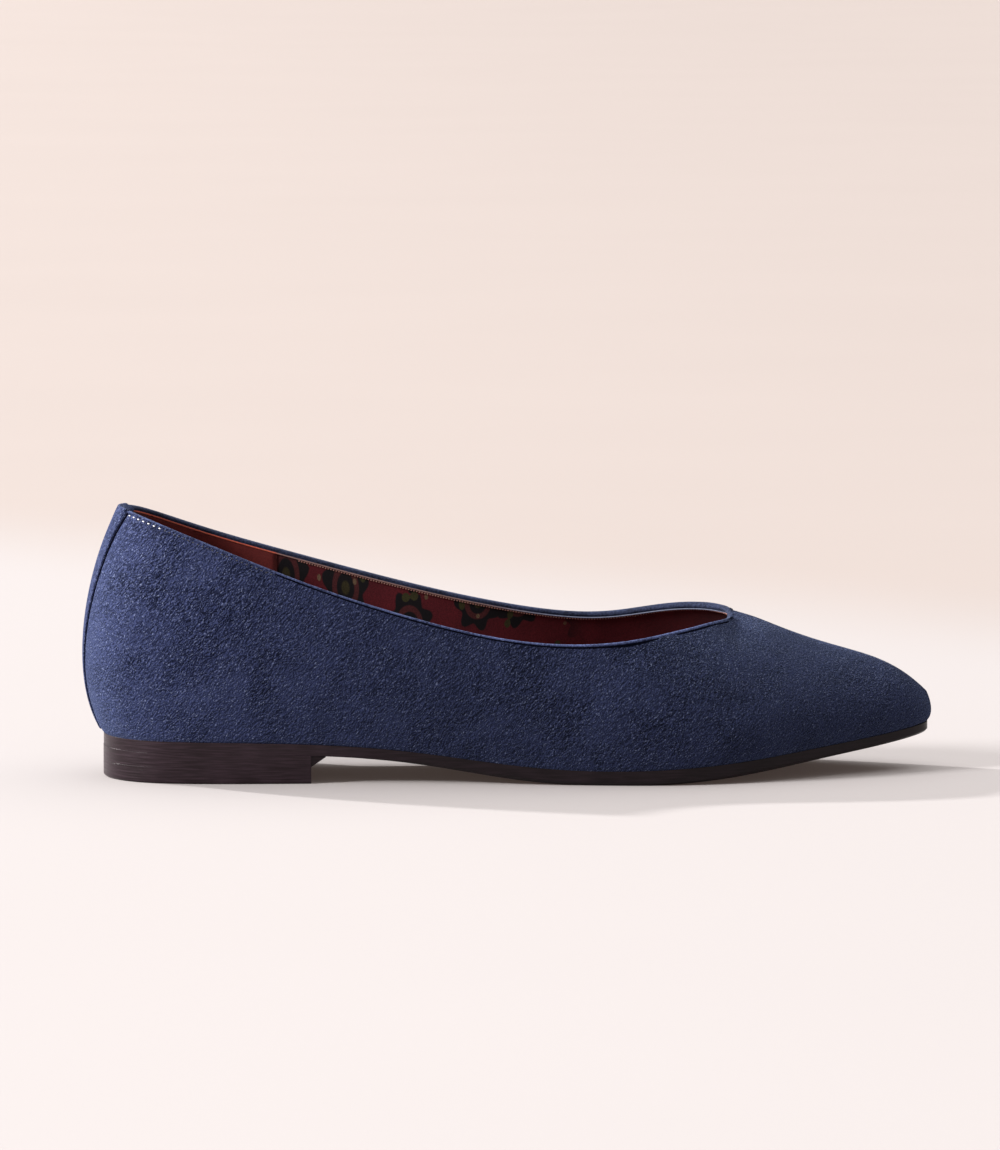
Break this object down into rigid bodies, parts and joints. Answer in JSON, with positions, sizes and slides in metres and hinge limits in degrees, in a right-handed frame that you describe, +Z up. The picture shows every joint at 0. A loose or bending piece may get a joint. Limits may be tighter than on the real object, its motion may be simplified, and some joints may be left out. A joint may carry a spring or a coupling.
{
  "type": "pointed toe flat shoe",
  "caption": "Women's pointed toe flat, right shoe: hollow suede upper with bound topline and back strip, insole, thin outsole and low stacked heel.",
  "frame": {"origin": "on the floor under the heel, in the middle of the heel's tread", "axes": "+X from heel to toe, +Y towards the big toe's side, +Z up from the floor"},
  "size_m": [0.2611, 0.0766, 0.0829],
  "materials": {
    "navy_suede": "matt navy suede with a short pebbly nap",
    "suede_binding": "rolled suede edge, lighter where it is rubbed",
    "red_leather": "smooth dark red lining leather",
    "dark_sole": "dark brown-black sole edge with a low sheen",
    "printed_textile": "woven maroon lining with a small dark print",
    "sewing_thread": "fine polyester thread"
  },
  "bodies": {
    "root": {"upper": "navy_suede", "back_strip": "navy_suede", "topline_binding": "suede_binding", "insole": "red_leather", "outsole": "dark_sole", "heel_block": "dark_sole", "heel_top_piece": "dark_sole"}
  },
  "joints": []
}
